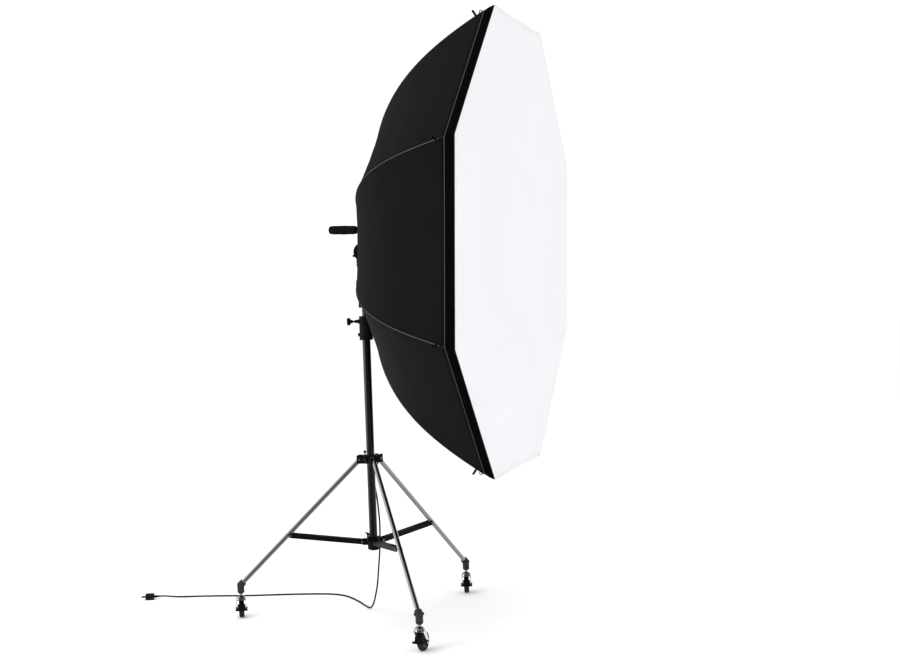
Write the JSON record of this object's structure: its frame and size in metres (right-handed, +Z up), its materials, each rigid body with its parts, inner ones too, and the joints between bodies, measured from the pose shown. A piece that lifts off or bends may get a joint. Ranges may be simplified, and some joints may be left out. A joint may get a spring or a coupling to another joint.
{
  "type": "studio softbox on a roller stand",
  "caption": "Large eight-sided indirect softbox with bent ribs, a sliding lamp and a tilting handle, on a folding chrome-legged stand with braked castors and a mains cord.",
  "frame": {"origin": "on the floor, under the middle of the outline without the cord; the column stands 36 mm behind it", "axes": "+Z up, the softbox faces -Y, +X to the right of someone standing behind the softbox's white face and looking the way it faces"},
  "size_m": [1.7664, 1.8875, 2.4071],
  "materials": {
    "gloss_black": "gloss black enamel",
    "black_paint": "satin black",
    "black_casting": "satin black moulding",
    "black_plastic": "matt black",
    "knob_black": "semi-gloss black",
    "leg_chrome": "bright chrome",
    "pin_steel": "plain steel",
    "cast_grey": "dark grey casting",
    "wheel_grey": "dark grey plastic",
    "tyre_brown": "brown-black rubber",
    "grip_foam": "black foam",
    "black_cloth": "black coated cloth",
    "grey_piping": "grey piping",
    "white_cloth": "white diffusing cloth",
    "lamp_shell": "satin black",
    "frosted_glass": "frosted",
    "cord_black": "matt black",
    "plug_brass": "polished"
  },
  "bodies": {
    "stand": {"column_tube": "gloss_black", "column_foot_plug": "black_plastic", "brace_hub": "black_casting", "brace_hinge_pins": "pin_steel", "top_collar": "black_casting", "cord": "cord_black", "plug": "cord_black", "plug_pins": "plug_brass"},
    "leg_collar": {"leg_collar": "black_casting", "leg_hinge_pins": "pin_steel"},
    "leg_1": {"leg_tube_1": "leg_chrome", "leg_socket_1": "cast_grey"},
    "brace_1": {"brace_1": "black_paint"},
    "castor_1": {"castor_fork_1": "leg_chrome"},
    "wheel_1": {"castor_wheel_1": "wheel_grey", "castor_tyre_1": "tyre_brown"},
    "brake_1": {"castor_brake_1": "black_plastic"},
    "leg_2": {"leg_tube_2": "leg_chrome", "leg_socket_2": "cast_grey"},
    "brace_2": {"brace_2": "black_paint"},
    "castor_2": {"castor_fork_2": "leg_chrome"},
    "wheel_2": {"castor_wheel_2": "wheel_grey", "castor_tyre_2": "tyre_brown"},
    "brake_2": {"castor_brake_2": "black_plastic"},
    "leg_3": {"leg_tube_3": "leg_chrome", "leg_socket_3": "cast_grey"},
    "brace_3": {"brace_3": "black_paint"},
    "castor_3": {"castor_fork_3": "leg_chrome"},
    "wheel_3": {"castor_wheel_3": "wheel_grey", "castor_tyre_3": "tyre_brown"},
    "brake_3": {"castor_brake_3": "black_plastic"},
    "riser": {"riser_tube": "gloss_black", "riser_glide": "black_plastic", "cable_clip": "black_plastic", "lamp_lead": "cord_black"},
    "pan_head": {"pan_base": "black_casting", "cord_gland": "cord_black", "tilt_bolt": "pin_steel"},
    "softbox": {"tilt_block": "black_paint", "handle_rod": "leg_chrome", "handle_grip": "grip_foam", "hub_ring": "black_casting", "rib_rods": "pin_steel", "rib_tips": "black_plastic", "canopy": "black_cloth", "seam_piping": "grey_piping", "rim_band_cloth": "black_cloth", "front_diffuser": "white_cloth", "lamp_shaft": "leg_chrome"},
    "lamp": {"lamp_carriage": "black_plastic", "lamp_body": "lamp_shell", "lamp_dome": "frosted_glass"},
    "riser_knob": {"riser_lock_knob": "knob_black"},
    "stop_screw": {"collar_stop_screw": "knob_black"},
    "collar_lever": {"leg_collar_knob": "knob_black"},
    "catch": {"fold_catch": "black_plastic"},
    "pan_knob": {"pan_lock_knob": "knob_black"},
    "tilt_lever": {"tilt_lock_lever": "knob_black"},
    "lamp_knob": {"carriage_knob": "knob_black"}
  },
  "joints": [
    {"name": "leg_collar_slide", "type": "slide", "parent": "stand", "child": "leg_collar", "axis": [0, 0, 1], "range_m": [0, 0.3874]},
    {"name": "leg_fold_1", "type": "hinge", "parent": "leg_collar", "child": "leg_1", "pos_m": [-0.00494, 0.08073, 0.66815], "axis": [-0.994, -0.1097, 0], "range_deg": [0, 33.8]},
    {"name": "leg_fold_2", "type": "hinge", "parent": "leg_collar", "child": "leg_2", "pos_m": [-0.03627, 0.00936, 0.66815], "axis": [0.592, -0.8059, 0], "range_deg": [0, 33.8]},
    {"name": "leg_fold_3", "type": "hinge", "parent": "leg_collar", "child": "leg_3", "pos_m": [0.0412, 0.01791, 0.66815], "axis": [0.4019, 0.9157, 0], "range_deg": [0, 33.8]},
    {"name": "brace_fold_1", "type": "hinge", "parent": "stand", "child": "brace_1", "pos_m": [-0.00494, 0.08073, 0.32615], "axis": [0.994, 0.1097, 0], "range_deg": [0, 70.5]},
    {"name": "brace_fold_2", "type": "hinge", "parent": "stand", "child": "brace_2", "pos_m": [-0.03627, 0.00936, 0.32615], "axis": [-0.592, 0.8059, 0], "range_deg": [0, 70.5]},
    {"name": "brace_fold_3", "type": "hinge", "parent": "stand", "child": "brace_3", "pos_m": [0.0412, 0.01791, 0.32615], "axis": [-0.4019, -0.9157, 0], "range_deg": [0, 70.5]},
    {"name": "castor_swivel_1", "type": "hinge", "parent": "leg_1", "child": "castor_1", "pos_m": [-0.0639, 0.61477, 0.1], "axis": [0, 0, 1], "continuous": true},
    {"name": "castor_wheel_1_spin", "type": "hinge", "parent": "castor_1", "child": "wheel_1", "pos_m": [-0.03852, 0.6266, 0.0375], "axis": [-0.4226, 0.9063, 0], "continuous": true},
    {"name": "castor_brake_1_press", "type": "hinge", "parent": "castor_1", "child": "brake_1", "pos_m": [-0.03852, 0.6266, 0.0375], "axis": [0.4226, -0.9063, 0], "range_deg": [0, 20]},
    {"name": "castor_swivel_2", "type": "hinge", "parent": "leg_2", "child": "castor_2", "pos_m": [-0.46928, -0.30872, 0.1], "axis": [0, 0, 1], "continuous": true},
    {"name": "castor_wheel_2_spin", "type": "hinge", "parent": "castor_2", "child": "wheel_2", "pos_m": [-0.44139, -0.31116, 0.0375], "axis": [0.0872, 0.9962, 0], "continuous": true},
    {"name": "castor_brake_2_press", "type": "hinge", "parent": "castor_2", "child": "brake_2", "pos_m": [-0.44139, -0.31116, 0.0375], "axis": [-0.0872, -0.9962, 0], "range_deg": [0, 20]},
    {"name": "castor_swivel_3", "type": "hinge", "parent": "leg_3", "child": "castor_3", "pos_m": [0.53317, -0.19805, 0.1], "axis": [0, 0, 1], "continuous": true},
    {"name": "castor_wheel_3_spin", "type": "hinge", "parent": "castor_3", "child": "wheel_3", "pos_m": [0.55995, -0.18986, 0.0375], "axis": [-0.2924, 0.9563, 0], "continuous": true},
    {"name": "castor_brake_3_press", "type": "hinge", "parent": "castor_3", "child": "brake_3", "pos_m": [0.55995, -0.18986, 0.0375], "axis": [0.2924, -0.9563, 0], "range_deg": [0, 20]},
    {"name": "riser_slide", "type": "slide", "parent": "stand", "child": "riser", "axis": [0, 0, 1], "range_m": [-0.034, 0.6], "deforming": ["cord"]},
    {"name": "pan", "type": "hinge", "parent": "riser", "child": "pan_head", "pos_m": [0, 0.036, 1.44115], "axis": [0, 0, 1], "range_deg": [-90, 90], "deforming": ["lamp_lead"]},
    {"name": "tilt", "type": "hinge", "parent": "pan_head", "child": "softbox", "pos_m": [0, 0.036, 1.52115], "axis": [1, 0, 0], "range_deg": [-80, 9]},
    {"name": "riser_knob_turn", "type": "hinge", "parent": "stand", "child": "riser_knob", "pos_m": [0, 0.036, 1.23715], "axis": [-0.2924, 0.9563, 0], "range_deg": [0, 720]},
    {"name": "stop_screw_turn", "type": "hinge", "parent": "stand", "child": "stop_screw", "pos_m": [0, 0.036, 1.18215], "axis": [-0.2924, 0.9563, 0], "range_deg": [0, 720]},
    {"name": "collar_lever_turn", "type": "hinge", "parent": "leg_collar", "child": "collar_lever", "pos_m": [0, 0.036, 0.66815], "axis": [-0.9157, 0.4019, 0], "range_deg": [-30, 30]},
    {"name": "fold_catch_swing", "type": "hinge", "parent": "stand", "child": "catch", "pos_m": [-0.02747, 0.04806, 0.33815], "axis": [-0.4019, -0.9157, 0], "range_deg": [0, 70]},
    {"name": "pan_knob_turn", "type": "hinge", "parent": "pan_head", "child": "pan_knob", "pos_m": [0, 0.036, 1.45915], "axis": [0.9781, -0.2079, 0], "range_deg": [0, 720]},
    {"name": "tilt_lever_turn", "type": "hinge", "parent": "pan_head", "child": "tilt_lever", "pos_m": [0, 0.036, 1.52115], "axis": [1, 0, 0], "range_deg": [0, 60]},
    {"name": "lamp_slide", "type": "slide", "parent": "softbox", "child": "lamp", "axis": [0, 0.9995, 0.0332], "range_m": [-0.06, 0.12]},
    {"name": "lamp_knob_turn", "type": "hinge", "parent": "lamp", "child": "lamp_knob", "pos_m": [0, -0.34943, 1.46734], "axis": [0, 0.0332, -0.9995], "range_deg": [0, 720]}
  ],
  "couplings": [
    {"joint": "leg_fold_1", "follows": "leg_collar_slide", "rad_per_m": 1.5138},
    {"joint": "leg_fold_2", "follows": "leg_collar_slide", "rad_per_m": 1.5138},
    {"joint": "leg_fold_3", "follows": "leg_collar_slide", "rad_per_m": 1.5138},
    {"joint": "brace_fold_1", "follows": "leg_collar_slide", "rad_per_m": 3.1613},
    {"joint": "brace_fold_2", "follows": "leg_collar_slide", "rad_per_m": 3.1613},
    {"joint": "brace_fold_3", "follows": "leg_collar_slide", "rad_per_m": 3.1613}
  ]
}
